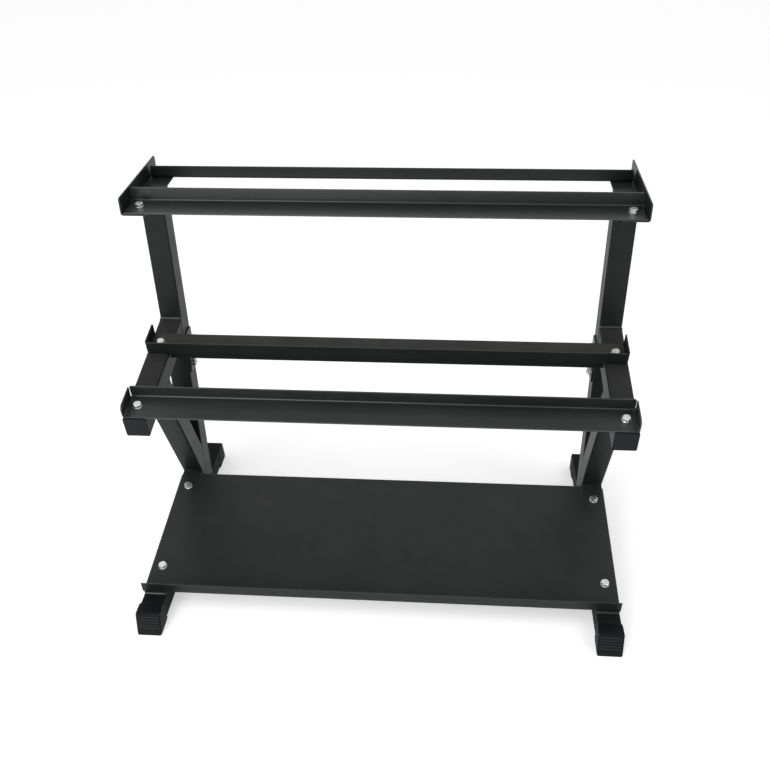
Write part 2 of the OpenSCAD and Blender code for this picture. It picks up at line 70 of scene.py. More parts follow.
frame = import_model()
bpy.context.view_layer.update()
MM = 0.001
print("pieces from CAD:", len(frame["nodes"]))

# %% [markdown]
# ## Where the camera stands
#
# A rack is best shown from a standing person's height, a little to one side of
# its middle, so that seats, lips and the shelf are all open to view. The camera
# is placed by plain sizes: a point in front of the rack, how far it looks down,
# how far it turns to the left, and a slight lean. Three turns, one after the
# other, are easier to read than one matrix of numbers.

# %% Camera
CAMERA_PLACE = Vector((0.1580, -1.7360, 1.6399))
LOOK_DOWN = radians(33.569)
TURN_LEFT = radians(5.022)
LEAN = radians(-1.305)
SENSOR = 36.0
FOCAL_LENGTH = 43.19


def place_camera():
    data = bpy.data.cameras.new("camera")
    data.sensor_width = SENSOR
    data.lens = FOCAL_LENGTH
    camera = bpy.data.objects.new("camera", data)
    bpy.context.scene.collection.objects.link(camera)
    turn = Matrix.Rotation(TURN_LEFT, 4, "Z")
    tilt = Matrix.Rotation(pi / 2 - LOOK_DOWN, 4, "X")
    lean = Matrix.Rotation(LEAN, 4, "Z")
    camera.matrix_world = Matrix.Translation(CAMERA_PLACE) @ turn @ tilt @ lean
    bpy.context.scene.camera = camera
    return camera


camera = place_camera()
standoff, height = round(-CAMERA_PLACE.y, 2), round(CAMERA_PLACE.z, 2)
print("camera stands", standoff, "m in front of the middle and", height, "m up")

# %% [markdown]
# ## Floor and light
#
# Black paint has little colour of its own: what the eye reads is what the coat
# reflects. A pale floor and a white room give long soft gradients on the sheet,
# and two large lamps from above pick out the folds. Upright lips turn away from
# those, so a third lamp stands low in front and shines on them. The room is
# drawn white to the camera and in reflections, and gives less light than that,
# so that the shadow under the rack stays.

# %% Floor, room and lamps
FLOOR_SIZE = 60.0
FLOOR_TONE = 0.85
FLOOR_ROUGHNESS = 0.9
FLOOR_SHINE = 0.1
FLOOR_LIFT = 0.42
ROOM_LIGHT = 0.62
LAMP_HEIGHT = 3.2
FRONT_LAMP_HEIGHT = 1.0
AIM_HEIGHT = 0.45
WHITE = (1, 1, 1, 1)
LAMPS = (  # name, place, width in metres, power in watts
    ("lamp_left", (-1.6, -2.2, LAMP_HEIGHT), 1.8, 32),
    ("lamp_right", (2.2, -1.4, LAMP_HEIGHT), 1.6, 22),
    ("lamp_front", (-0.8, -2.7, FRONT_LAMP_HEIGHT), 1.2, 40),
)


def new_material(name):
    material = bpy.data.materials.new(name)
    material.use_nodes = True
    tree = material.node_tree
    return material, tree, tree.nodes["Principled BSDF"]


def rays_that_see(tree):
    """One for a ray from the camera, a mirror or glass, nought for light that bounces."""
    path = tree.nodes.new("ShaderNodeLightPath")
    total = path.outputs["Is Camera Ray"]
    for ray in ("Is Glossy Ray", "Is Transmission Ray"):
        either = tree.nodes.new("ShaderNodeMath")
        either.operation = "MAXIMUM"
        tree.links.new(total, either.inputs[0])
        tree.links.new(path.outputs[ray], either.inputs[1])
        total = either.outputs["Value"]
    return total


def make_floor():
    bm = bmesh.new()
    bmesh.ops.create_grid(bm, x_segments=1, y_segments=1, size=FLOOR_SIZE / 2)
    mesh = bpy.data.meshes.new("floor")
    bm.to_mesh(mesh)
    bm.free()
    floor = bpy.data.objects.new("floor", mesh)
    bpy.context.scene.collection.objects.link(floor)
    material, tree, shader = new_material("pale_floor")
    shader.inputs["Base Color"].default_value = (FLOOR_TONE, FLOOR_TONE, FLOOR_TONE, 1)
    shader.inputs["Roughness"].default_value = FLOOR_ROUGHNESS
    shader.inputs["Specular IOR Level"].default_value = FLOOR_SHINE
    shader.inputs["Emission Color"].default_value = WHITE
    lift = tree.nodes.new("ShaderNodeMath")
    lift.operation = "MULTIPLY"
    lift.inputs[1].default_value = FLOOR_LIFT
    tree.links.new(rays_that_see(tree), lift.inputs[0])
    tree.links.new(lift.outputs["Value"], shader.inputs["Emission Strength"])
    mesh.materials.append(material)
    return floor


def light_the_room():
    world = bpy.data.worlds.new("room")
    bpy.context.scene.world = world
    world.use_nodes = True
    tree = world.node_tree
    tree.nodes.clear()
    white = tree.nodes.new("ShaderNodeBackground")
    white.inputs["Color"].default_value = WHITE
    lighting = tree.nodes.new("ShaderNodeBackground")
    lighting.inputs["Color"].default_value = WHITE
    lighting.inputs["Strength"].default_value = ROOM_LIGHT
    mix = tree.nodes.new("ShaderNodeMixShader")
    out = tree.nodes.new("ShaderNodeOutputWorld")
    tree.links.new(rays_that_see(tree), mix.inputs[0])
    tree.links.new(lighting.outputs["Background"], mix.inputs[1])
    tree.links.new(white.outputs["Background"], mix.inputs[2])
    tree.links.new(mix.outputs["Shader"], out.inputs["Surface"])


def hang_lamp(name, place, width, power):
    data = bpy.data.lights.new(name, "AREA")
    data.shape = "SQUARE"
    data.size = width
    data.energy = power
    lamp = bpy.data.objects.new(name, data)
    lamp.location = place
    aim = Vector((0, 0, AIM_HEIGHT)) - Vector(place)
    lamp.rotation_euler = aim.to_track_quat("-Z", "Y").to_euler()
    bpy.context.scene.collection.objects.link(lamp)
    return lamp


make_floor()
light_the_room()
for lamp in LAMPS:
    hang_lamp(*lamp)
bpy.context.scene.view_settings.view_transform = "Standard"
print("floor", FLOOR_SIZE, "m wide, lamps", [name for name, *_ in LAMPS])

# %% [markdown]
# ## Satin powder coat
#
# Powder coat is melted on as a skin about a tenth of a millimetre thick. Seen close, it has a
# fine waviness called orange peel, a haze that changes slowly over the sheet, and it is
# thinner and rubbed smoother where a cut edge sticks out. Faces that look upwards, such as
# seats and shelf, are made paler in patches: painted light that stands for the light they
# catch from above. Shine and that painted light are set for each kind of piece, so the kinds
# are lit and shaded copies of one coat: one function makes the coat, and three numbers make
# its kinds. Two noises are the peel, a third is the haze, and an attribute written further
# down on the rounded edges lightens them as a painted highlight.
#
# Every finish here is wired from the same few nodes, so each of those gets a small function
# first: a noise, a change of range, a product of two values, a blend of two colours, the mark
# for the painted highlight on rounded edges, and a bump.

# %% Helpers for finishes
def add_noise(tree, coordinates, size, detail=2.0, roughness=0.5):
    noise = tree.nodes.new("ShaderNodeTexNoise")
    noise.inputs["Scale"].default_value = 1 / size
    noise.inputs["Detail"].default_value = detail
    noise.inputs["Roughness"].default_value = roughness
    tree.links.new(coordinates.outputs["Object"], noise.inputs["Vector"])
    return noise.outputs["Fac"]


def add_range(tree, source, low, high, start=0.3, end=0.7):
    spread = tree.nodes.new("ShaderNodeMapRange")
    spread.inputs["From Min"].default_value = start
    spread.inputs["From Max"].default_value = end
    spread.inputs["To Min"].default_value = low
    spread.inputs["To Max"].default_value = high
    tree.links.new(source, spread.inputs["Value"])
    return spread.outputs["Result"]


def add_product(tree, first, second):
    product = tree.nodes.new("ShaderNodeMath")
    product.operation = "MULTIPLY"
    for value, socket in zip((first, second), product.inputs):
        if isinstance(value, float):
            socket.default_value = value
        else:
            tree.links.new(value, socket)
    return product.outputs["Value"]


def add_blend(tree, factor, first, second):
    blend = tree.nodes.new("ShaderNodeMix")
    blend.data_type = "RGBA"
    tree.links.new(factor, blend.inputs["Factor"])
    slots = [socket for socket in blend.inputs if socket.type == "RGBA"]
    for value, socket in zip((first, second), slots):
        if isinstance(value, tuple):
            socket.default_value = (*value, 1)
        else:
            tree.links.new(value, socket)
    return [socket for socket in blend.outputs if socket.type == "RGBA"][0]


def add_edge_highlight(tree):
    """One on a rounded edge, nought elsewhere."""
    # The mark where rounded edges are lightened as a painted highlight.
    edge_highlight = tree.nodes.new("ShaderNodeAttribute")
    edge_highlight.attribute_name = "edge_highlight"
    return edge_highlight.outputs["Fac"]


def add_bump(tree, shader, *layers):
    """Each layer is a height, how strongly it shows, and how deep it is."""
    last = None
    for height, strength, distance in layers:
        bump = tree.nodes.new("ShaderNodeBump")
        bump.inputs["Strength"].default_value = strength
        bump.inputs["Distance"].default_value = distance
        tree.links.new(height, bump.inputs["Height"])
        if last is not None:
            tree.links.new(last, bump.inputs["Normal"])
        last = bump.outputs["Normal"]
    tree.links.new(last, shader.inputs["Normal"])


blocks = (add_noise, add_range, add_product, add_blend, add_edge_highlight, add_bump)
print("building blocks:", [block.__name__ for block in blocks])

# %% Powder coat material
SOFT = 0.6
PEEL_SIZE, PEEL_BUMP = 1.4 * MM, (0.25, 0.06 * MM)
GRIT_SIZE, GRIT_BUMP = 0.45 * MM, (0.2, 0.02 * MM)
HAZE_SIZE = 160 * MM
HAZE_ON_ROUGHNESS = 0.04
# Patch size and strength of the painted light on faces that look upwards.
UPWARD_LIGHT_PATCH = 60 * MM
UPWARD_LIGHT_THIN, UPWARD_LIGHT_THICK = 0.75, 1.15
# How far a face looks up where the painted light on upward faces starts and where it is full:
# 0 is a wall, 1 is a floor.
UPWARD_LIGHT_STARTS, UPWARD_LIGHT_FULL = 0.7, 0.95
COAT_DARK = (0.0065, 0.0082, 0.0079)
COAT_LIGHT = (0.0104, 0.0124, 0.0120)
# Lighter tone on rounded edges: a painted highlight for the line of light they catch.
EDGE_HIGHLIGHT_TONE = (0.045, 0.046, 0.045)
# Pale tone of the painted light on faces that look upwards.
UPWARD_LIGHT_TONE = (0.10, 0.10, 0.095)


def powder_coat(name, roughness, shine, upward_light):
    material, tree, shader = new_material(name)
    coordinates = tree.nodes.new("ShaderNodeTexCoord")
    surface = tree.nodes.new("ShaderNodeNewGeometry")
    facing = tree.nodes.new("ShaderNodeSeparateXYZ")
    tree.links.new(surface.outputs["Normal"], facing.inputs["Vector"])
    haze = add_noise(tree, coordinates, HAZE_SIZE, detail=4.0, roughness=SOFT)
    patches = add_noise(tree, coordinates, UPWARD_LIGHT_PATCH, detail=5.0, roughness=SOFT)
    peel = add_noise(tree, coordinates, PEEL_SIZE)
    grit = add_noise(tree, coordinates, GRIT_SIZE, detail=1.0)
    # Faces that look upwards are made paler in patches: painted light from above, blended into
    # the coat colour.
    upward = add_range(tree, facing.outputs["Z"], 0.0, upward_light, UPWARD_LIGHT_STARTS, UPWARD_LIGHT_FULL)
    painted_upward_light = add_product(tree, upward, add_range(tree, patches, UPWARD_LIGHT_THIN, UPWARD_LIGHT_THICK))
    coat = add_blend(tree, add_range(tree, haze, 0.0, 1.0), COAT_DARK, COAT_LIGHT)
    dust_and_painted_light = add_blend(tree, painted_upward_light, coat, UPWARD_LIGHT_TONE)
    # Rounded edges are lightened: a painted highlight.
    edge_highlighted = add_blend(tree, add_edge_highlight(tree), dust_and_painted_light, EDGE_HIGHLIGHT_TONE)
    tree.links.new(edge_highlighted, shader.inputs["Base Color"])
    smoothest, roughest = roughness - HAZE_ON_ROUGHNESS, roughness + HAZE_ON_ROUGHNESS
    uneven = add_range(tree, haze, smoothest, roughest)
    tree.links.new(uneven, shader.inputs["Roughness"])
    shader.inputs["Specular IOR Level"].default_value = shine
    add_bump(tree, shader, (peel, *PEEL_BUMP), (grit, *GRIT_BUMP))
    return material


# These kinds are lit and shaded copies of one coat: shine and the painted light on upward
# faces are tuned piece by piece to stand for how the light falls on each.
COATS = {  # what it covers: roughness, shine, painted light on upward faces
    "satin_coat_on_tube": (0.44, 0.14, 0.02),
    "satin_coat_on_arms": (0.44, 0.08, 0.20),
    "satin_coat_on_base": (0.55, 0.03, 0.02),
    "satin_coat_on_sheet": (0.40, 0.20, 0.10),
    "satin_coat_on_front_rails": (0.38, 0.50, 0.02),
    "satin_coat_on_top_rear_rail": (0.40, 0.22, 0.20),
    "satin_coat_on_middle_rear_rail": (0.46, 0.05, 0.42),
    "coat_over_welds": (0.30, 0.40, 0.05),
}
coats = {name: powder_coat(name, *numbers) for name, numbers in COATS.items()}
print("coats of powder:", len(coats))

# %% [markdown]
# ## Rubber, plastic and zinc
#
# The boots are matt rubber with floor dust rubbed into them near the ground.
# The plugs in the arms are moulded plastic with a fine spark texture. Bolts,
# washers and nuts are zinc plated: bright, a little cloudy, and never as smooth
# as chrome, so a patchy roughness does most of the work.

# %% Rubber, plastic and zinc materials
DUST_TOP, DUST_MOST = 30 * MM, 0.55
RUBBER_DARK, FLOOR_DUST = (0.0033, 0.0043, 0.0050), (0.023, 0.023, 0.022)
# Lighter tone on the boots' rounded edges: a painted highlight.
RUBBER_EDGE_HIGHLIGHT = (0.03, 0.03, 0.03)
RUBBER_GRAIN, RUBBER_PATCH, RUBBER_BUMP = 0.8 * MM, 22 * MM, (0.35, 0.08 * MM)
RUBBER_ROUGHNESS, RUBBER_SHINE = (0.52, 0.66), 0.09
PLUG_DARK, PLUG_LIGHT = (0.0045, 0.0055, 0.0070), (0.0070, 0.0080, 0.0100)
PLUG_SPARK, PLUG_CLOUD, PLUG_BUMP = 0.35 * MM, 30 * MM, (0.3, 0.03 * MM)
PLUG_ROUGHNESS, PLUG_SHINE = (0.42, 0.52), 0.12
ZINC_DARK, ZINC_LIGHT = (0.60, 0.62, 0.61), (0.84, 0.85, 0.83)
ZINC_SCRATCH, ZINC_CLOUD, ZINC_BUMP = 0.5 * MM, 6 * MM, (0.15, 0.02 * MM)
ZINC_ROUGHNESS = (0.22, 0.40)


def boot_rubber():
    material, tree, shader = new_material("boot_rubber")
    coordinates = tree.nodes.new("ShaderNodeTexCoord")
    grain = add_noise(tree, coordinates, RUBBER_GRAIN, detail=3.0)
    patches = add_noise(tree, coordinates, RUBBER_PATCH, detail=4.0, roughness=SOFT)
    place = tree.nodes.new("ShaderNodeSeparateXYZ")
    tree.links.new(coordinates.outputs["Object"], place.inputs["Vector"])
    low_down = add_range(tree, place.outputs["Z"], DUST_MOST, 0.0, 0.0, DUST_TOP)
    dust_and_painted_light = add_product(tree, low_down, patches)
    rubber_tone = add_blend(tree, dust_and_painted_light, RUBBER_DARK, FLOOR_DUST)
    # Rounded edges of the boots are lightened: a painted highlight.
    edge_highlighted = add_blend(tree, add_edge_highlight(tree), rubber_tone, RUBBER_EDGE_HIGHLIGHT)
    tree.links.new(edge_highlighted, shader.inputs["Base Color"])
    uneven = add_range(tree, patches, *RUBBER_ROUGHNESS)
    tree.links.new(uneven, shader.inputs["Roughness"])
    shader.inputs["Specular IOR Level"].default_value = RUBBER_SHINE
    add_bump(tree, shader, (grain, *RUBBER_BUMP))
    return material


def plug_plastic():
    material, tree, shader = new_material("plug_plastic_black")
    coordinates = tree.nodes.new("ShaderNodeTexCoord")
    spark = add_noise(tree, coordinates, PLUG_SPARK)
    cloud = add_noise(tree, coordinates, PLUG_CLOUD)
    tone = add_blend(tree, add_range(tree, cloud, 0.0, 1.0), PLUG_DARK, PLUG_LIGHT)
    tree.links.new(tone, shader.inputs["Base Color"])
    tree.links.new(add_range(tree, cloud, *PLUG_ROUGHNESS), shader.inputs["Roughness"])
    shader.inputs["Specular IOR Level"].default_value = PLUG_SHINE
    add_bump(tree, shader, (spark, *PLUG_BUMP))
    return material


def zinc_plate():
    material, tree, shader = new_material("zinc_plate")
    coordinates = tree.nodes.new("ShaderNodeTexCoord")
    cloud = add_noise(tree, coordinates, ZINC_CLOUD, detail=4.0, roughness=SOFT)
    scratch = add_noise(tree, coordinates, ZINC_SCRATCH)
    tone = add_blend(tree, add_range(tree, cloud, 0.0, 1.0), ZINC_DARK, ZINC_LIGHT)
    tree.links.new(tone, shader.inputs["Base Color"])
    tree.links.new(add_range(tree, cloud, *ZINC_ROUGHNESS), shader.inputs["Roughness"])
    shader.inputs["Metallic"].default_value = 1.0
    add_bump(tree, shader, (scratch, *ZINC_BUMP))
    return material


rubber, plastic, zinc = boot_rubber(), plug_plastic(), zinc_plate()
print("other finishes:", rubber.name, plastic.name, zinc.name)

# %% [markdown]
# ## Rounding the coated pieces
#
# Paint pulls back from a sharp corner, so no edge on the real rack is a knife edge: each one
# catches a thin line of light. The CAD mesh is loose triangles, so a copy of it is welded into
# one skin, flat faces are joined again, and the sharp edges are bevelled by half a millimetre.
# The new narrow faces are marked for a painted highlight, a lighter colour that stands for
# that line of light. A bevel modifier would do as well, but it can't write that mark.
# Where rounded edges meet at a narrow angle they leave slivers without any area,
# which are dissolved at the end. Boots and plugs are moulded, not coated, but
# they are rounded in the same way, by amounts of their own.

# %% Round a coated piece
EDGE_ROUND = 0.5 * MM
WELD_DISTANCE = 0.005 * MM
FLAT = radians(0.5)
SHARP = radians(35)


def finish_mesh(bm, name, material):
    mesh = bpy.data.meshes.new(name)
    bm.to_mesh(mesh)
    bm.free()
    mesh.polygons.foreach_set("use_smooth", [True] * len(mesh.polygons))
    mesh.set_sharp_from_angle(angle=SHARP)
    mesh.materials.append(material)
    piece = bpy.data.objects.new(name, mesh)
    bpy.context.scene.collection.objects.link(piece)
    evenly = piece.modifiers.new("even_shading", "WEIGHTED_NORMAL")
    evenly.keep_sharp = True
    return piece


def rounded_copy(node, material, radius=EDGE_ROUND):
    bm = bmesh.new()
    bm.from_mesh(frame["nodes"][node].data)
    bmesh.ops.remove_doubles(bm, verts=bm.verts, dist=WELD_DISTANCE)
    bmesh.ops.dissolve_limit(
        bm,
        angle_limit=FLAT,
        verts=bm.verts,
        edges=bm.edges,
        use_dissolve_boundaries=False,
    )
    # Faces marked here get a lighter colour: a painted highlight along the rounded edges.
    mark = bm.faces.layers.float.new("edge_highlight")
    sharp = [e for e in bm.edges if e.is_manifold and e.calc_face_angle() > SHARP]
    made = bmesh.ops.bevel(
        bm,
        geom=sharp,
        offset=radius,
        offset_type="OFFSET",
        segments=2,
        profile=0.5,
        affect="EDGES",
        clamp_overlap=False,
        material=-1,
    )
    for face in made["faces"]:
        face[mark] = 1.0
    bmesh.ops.dissolve_degenerate(bm, edges=bm.edges, dist=2 * WELD_DISTANCE)
    piece = finish_mesh(bm, node + "_coated", material)
    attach(piece, "root")
    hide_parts(node)
    return piece


print("edges to round by", EDGE_ROUND / MM, "mm")

# %% Round the tubes and the sheet
PAIRS = ("left", "right")


def both(*parts):
    return [part + side for part in parts for side in PAIRS]


for node in both("lower_post_", "upper_post_", "brace_"):
    rounded_copy(node, coats["satin_coat_on_tube"])
for side in PAIRS:
    rounded_copy("arm_" + side, coats["satin_coat_on_arms"])
    rounded_copy("base_tube_" + side, coats["satin_coat_on_base"])
for node in both("splice_plate_", "top_bracket_", "shelf_bearer_") + ["shelf"]:
    rounded_copy(node, coats["satin_coat_on_sheet"])
for node in ("top_front_rail", "mid_front_rail"):
    rounded_copy(node, coats["satin_coat_on_front_rails"])
rounded_copy("top_rear_rail", coats["satin_coat_on_top_rear_rail"])
for node in ("mid_rear_rail", "mid_rear_stiffener"):
    rounded_copy(node, coats["satin_coat_on_middle_rear_rail"])

# %% Round the boots and plugs
BOOT_ROUND = 0.6 * MM
PLUG_ROUND = 0.4 * MM
for side in PAIRS:
    for end in ("front", "rear"):
        rounded_copy(f"foot_{end}_{side}", rubber, BOOT_ROUND)
    rounded_copy(f"arm_plug_{side}", plastic, PLUG_ROUND)
print("boots rounded by", BOOT_ROUND / MM, "mm, plugs by", PLUG_ROUND / MM, "mm")

# %% [markdown]
# ## The slant of a boot
#
# The ribbed end of a boot leans back a little as it rises, and its grip grooves
# sit close together in the upper part. The open rim slants as well: at the floor
# it reaches further along the tube than on top. The pieces so far have upright
# ends and rims. Every point near the end is moved towards the middle of the
# rack, the more the higher it lies and the nearer it is to the end, so flat
# faces stay flat. The tube inside goes through the same move, and so can't break
# through the boot. Moving points keeps the mesh as it is, where cutting the boot
# anew would need its grooves and rounded edges made again.

# %% Slant the boots
BOOT_LEAN, LEAN_DEPTH = 12.5 * MM, 30 * MM
NOSE = 6 * MM
GROOVE_DEPTH, GROOVE_REACH = 1.5 * MM, 25 * MM
GROOVE_GATHER = 0.8
GROOVE_SHARE = 0.6
RIM_START = 29 * MM
RIM_LOW, RIM_HIGH = 8 * MM, -3 * MM
boot_low, boot_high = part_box("foot_front_left")
boot_end, boot_top = -boot_low.y, boot_high.z
boot_middle = -(boot_low.x + boot_high.x) / 2


def gather_grooves(boot):
    """Moves the grooves of the end upwards and makes them shallower."""
    start = boot_top - NOSE
    for vert in boot.data.vertices:
        on_end = abs(vert.co.y) > boot_end - GROOVE_DEPTH
        if on_end and NOSE < vert.co.z < start:
            vert.co.z = start - (start - vert.co.z) * GROOVE_GATHER
            if abs(abs(vert.co.x) - boot_middle) < GROOVE_REACH:
                depth = boot_end - abs(vert.co.y)
                vert.co.y *= (boot_end - depth * GROOVE_SHARE) / abs(vert.co.y)


def move_inwards(vert, distance):
    vert.co.y -= distance if vert.co.y > 0 else -distance


def lean_end(piece):
    for vert in piece.data.vertices:
        share = (abs(vert.co.y) - boot_end + LEAN_DEPTH) / LEAN_DEPTH
        if share > 0:
            move_inwards(vert, BOOT_LEAN * share * vert.co.z / boot_top)


def slant_rim(boot):
    for vert in boot.data.vertices:
        if abs(vert.co.y) < boot_end - RIM_START:
            move_inwards(vert, RIM_LOW + (RIM_HIGH - RIM_LOW) * vert.co.z / boot_top)


for side in PAIRS:
    for end in ("front", "rear"):
        boot = bpy.data.objects[f"foot_{end}_{side}_coated"]
        gather_grooves(boot)
        lean_end(boot)
        slant_rim(boot)
    lean_end(bpy.data.objects[f"base_tube_{side}_coated"])
print("boot", round(boot_top / MM, 1), "mm high leans back", BOOT_LEAN / MM, "mm")

# %% [markdown]
# ## Where each bolt stands
#
# Every bolt, washer and nut in the CAD model is already in its place, so its
# place is read from there. A node holds four solids. Each is found by walking
# along its edges from corner to corner, and is then measured along three
# directions: the way the bolt points, and two across it. The middle of what was
# measured is the bolt's own middle line. The walk may start at any corner, so the
# places are sorted afterwards, and come in the same order each time.

# %% Find the bolts in the CAD pieces
MIDDLE_SLOPE = radians(10.5)
SHELF_SLOPE = radians(6.8)
TIERS = {
    "top_rail": Vector((0, 0, 1)),
    "mid_rail": Vector((0, -sin(MIDDLE_SLOPE), cos(MIDDLE_SLOPE))),
    "shelf": Vector((0, -sin(SHELF_SLOPE), cos(SHELF_SLOPE))),
    "splice": Vector((1, 0, 0)),
}


def solids_of(node):
    bm = bmesh.new()
    bm.from_mesh(frame["nodes"][node].data)
    bmesh.ops.remove_doubles(bm, verts=bm.verts, dist=WELD_DISTANCE)
    waiting = set(bm.verts)
    solids = []
    while waiting:
        found = [waiting.pop()]
        for vert in found:
            for edge in vert.link_edges:
                other = edge.other_vert(vert)
                if other in waiting:
                    waiting.discard(other)
                    found.append(other)
        solids.append([vert.co.copy() for vert in found])
    bm.free()
    return solids


def places_of(node, up):
    """For each solid: the lowest point of its middle line, the way up, its height."""
    places = []
    for points in solids_of(node):
        axis = -up if up.x > 0.5 and points[0].x < 0 else up
        across = axis.orthogonal().normalized()
        other = axis.cross(across)
        middle = Vector()
        for way in (across, other):
            reach = [point.dot(way) for point in points]
            middle += way * (min(reach) + max(reach)) / 2
        along = [point.dot(axis) for point in points]
        places.append((middle + axis * min(along), axis, max(along) - min(along)))
    return sorted(places, key=lambda place: [round(number / MM) for number in place[0]])


for tier, up in TIERS.items():
    lengths = [length for *_, length in places_of(tier + "_bolts", up)]
    print(tier, [round(length / MM, 1) for length in lengths], "mm long")

# %% [markdown]
# ## Bolts, washers and nuts
#
# A hexagon head is forged and then turned: a cone takes off its six corners,
# which leaves the curved edges that catch the light. The same shape comes from
# rings. Each ring is a circle whose points are pushed out to the hexagon, or
# left on the circle, and lowered where the cone cuts. A wall pulled from ring to
# ring makes a head or a nut. A thread is a zigzag spun round the bolt while it
# climbs by one pitch, then cut off square at both ends.

# %% Rings, heads, nuts and washers
RING_POINTS = 72
HEX_FLATS = 17 * MM
CORNER_RADIUS = 9.6 * MM
TURNED_RADIUS = 8.1 * MM
TURNED_SLOPE = tan(radians(30))
HEAD_HEIGHT = 6.4 * MM
HEAD_SEAT = 0.3 * MM
CUP_RADIUS, CUP_WALL, CUP_DEPTH = 6.2 * MM, 0.6 * MM, 0.3 * MM
NUT_BORE, NUT_BORE_EDGE = 5.05 * MM, 0.6 * MM
WASHER_BORE, WASHER_RADIUS, WASHER_EDGE = 5.5 * MM, 10 * MM, 0.3 * MM


def hexagon(angle):
    turn = angle % (pi / 3) - pi / 6
    return min(HEX_FLATS / 2 / cos(turn), CORNER_RADIUS)


def lay_ring(verts, radius, height):
    """Lays points round a ring. Radius and height are numbers or functions of the angle."""
    for vert in verts:
        angle = atan2(vert.co.y, vert.co.x)
        r = radius(angle) if callable(radius) else radius
        z = height(angle) if callable(height) else height
        vert.co = Vector((cos(angle) * r, sin(angle) * r, z))


def join_rings(bm, rings, closed):
    """Pulls a circle through the rings, then joins the wall to its start or fills its ends."""
    verts = bmesh.ops.create_circle(bm, segments=RING_POINTS, radius=1)["verts"]
    first = edges = bm.edges[:]
    lay_ring(verts, *rings[0])
    for ring in rings[1:] + rings[:1] if closed else rings[1:]:
        pulled = bmesh.ops.extrude_edge_only(bm, edges=edges)["geom"]
        lay_ring([part for part in pulled if isinstance(part, bmesh.types.BMVert)], *ring)
        edges = [part for part in pulled if isinstance(part, bmesh.types.BMEdge)]
    if closed:
        bmesh.ops.remove_doubles(bm, verts=bm.verts, dist=WELD_DISTANCE)
    else:
        for loop in (first, edges):
            bmesh.ops.edgeloop_fill(bm, edges=loop)


def cut_low(angle):
    return (hexagon(angle) - TURNED_RADIUS) * TURNED_SLOPE


def head(bm):
    rings = [
        (TURNED_RADIUS, 0.0),
        (hexagon, HEAD_SEAT),
        (hexagon, lambda angle: HEAD_HEIGHT - cut_low(angle)),
        (TURNED_RADIUS, HEAD_HEIGHT),
        (CUP_RADIUS, HEAD_HEIGHT),
        (CUP_RADIUS - CUP_WALL, HEAD_HEIGHT - CUP_DEPTH),
    ]
    join_rings(bm, rings, closed=False)


def nut(bm, height):
    rings = [
        (NUT_BORE + NUT_BORE_EDGE, 0.0),
        (TURNED_RADIUS, 0.0),
        (hexagon, cut_low),
        (hexagon, lambda angle: height - cut_low(angle)),
        (TURNED_RADIUS, height),
        (NUT_BORE + NUT_BORE_EDGE, height),
        (NUT_BORE, height - NUT_BORE_EDGE),
        (NUT_BORE, NUT_BORE_EDGE),
    ]
    join_rings(bm, rings, closed=True)


def washer(bm, height):
    rings = [
        (WASHER_BORE, WASHER_EDGE),
        (WASHER_BORE + WASHER_EDGE, 0.0),
        (WASHER_RADIUS - WASHER_EDGE, 0.0),
        (WASHER_RADIUS, WASHER_EDGE),
        (WASHER_RADIUS, height - WASHER_EDGE),
        (WASHER_RADIUS - WASHER_EDGE, height),
        (WASHER_BORE + WASHER_EDGE, height),
        (WASHER_BORE, height - WASHER_EDGE),
    ]
    join_rings(bm, rings, closed=True)


corner_cut = round(cut_low(0) / MM, 2)
print(HEX_FLATS / MM, "mm across flats, corners cut low by", corner_cut, "mm")

# %% [markdown]
# ## A bolt with its thread
#
# A bolt is put together from a head, a thread and a smooth shank between them.
# Only the last bit of the thread is ever in view, below the nut, so only that
# bit is cut, and a plain round bar hidden in the bore does for the rest. The
# zigzag is spun too long on both sides, sliced flat, and then its tip is drawn
# in to a cone, as on a real bolt, where the cone helps the nut to start.

# %% Threaded shank
BOLT_RADIUS = 5 * MM
PITCH = 1.5 * MM
THREAD_DEPTH = 0.8 * MM
THREAD_STEPS = 32
SPARE_TURNS = 3
TAIL, TAIL_OVERLAP = 2.5 * MM, 1 * MM
SHANK_SIDES, SHANK_SLACK, SHANK_LIFT = 32, 0.1 * MM, 0.2 * MM


def thread(bm, low, high):
    turns = int((high - low) / PITCH) + SPARE_TURNS
    start = low - SPARE_TURNS / 2 * PITCH
    chain = []
    for step in range(2 * turns + 1):
        radius = BOLT_RADIUS - (THREAD_DEPTH if step % 2 else 0)
        chain.append(bm.verts.new((radius, 0, start + step * PITCH / 2)))
    edges = [bm.edges.new(pair) for pair in zip(chain, chain[1:])]
    bmesh.ops.spin(
        bm,
        geom=chain + edges,
        cent=(0, 0, 0),
        axis=(0, 0, 1),
        dvec=(0, 0, PITCH / THREAD_STEPS),
        angle=2 * pi,
        steps=THREAD_STEPS,
        use_merge=False,
    )
    bmesh.ops.remove_doubles(bm, verts=bm.verts, dist=WELD_DISTANCE)
    for level, way in ((low, -1), (high, 1)):
        bmesh.ops.bisect_plane(
            bm,
            geom=bm.verts[:] + bm.edges[:] + bm.faces[:],
            plane_co=(0, 0, level),
            plane_no=(0, 0, way),
            clear_outer=True,
        )
        rim = [edge for edge in bm.edges if edge.is_boundary]
        rim = [e for e in rim if all(abs(v.co.z - level) < WELD_DISTANCE for v in e.verts)]
        bmesh.ops.edgeloop_fill(bm, edges=rim)
    for vert in bm.verts:
        allowed = BOLT_RADIUS - THREAD_DEPTH + (vert.co.z - low)
        across = vert.co.xy.length
        if across > allowed:
            vert.co.x *= allowed / across
            vert.co.y *= allowed / across
    bmesh.ops.dissolve_degenerate(bm, edges=bm.edges, dist=4 * WELD_DISTANCE)


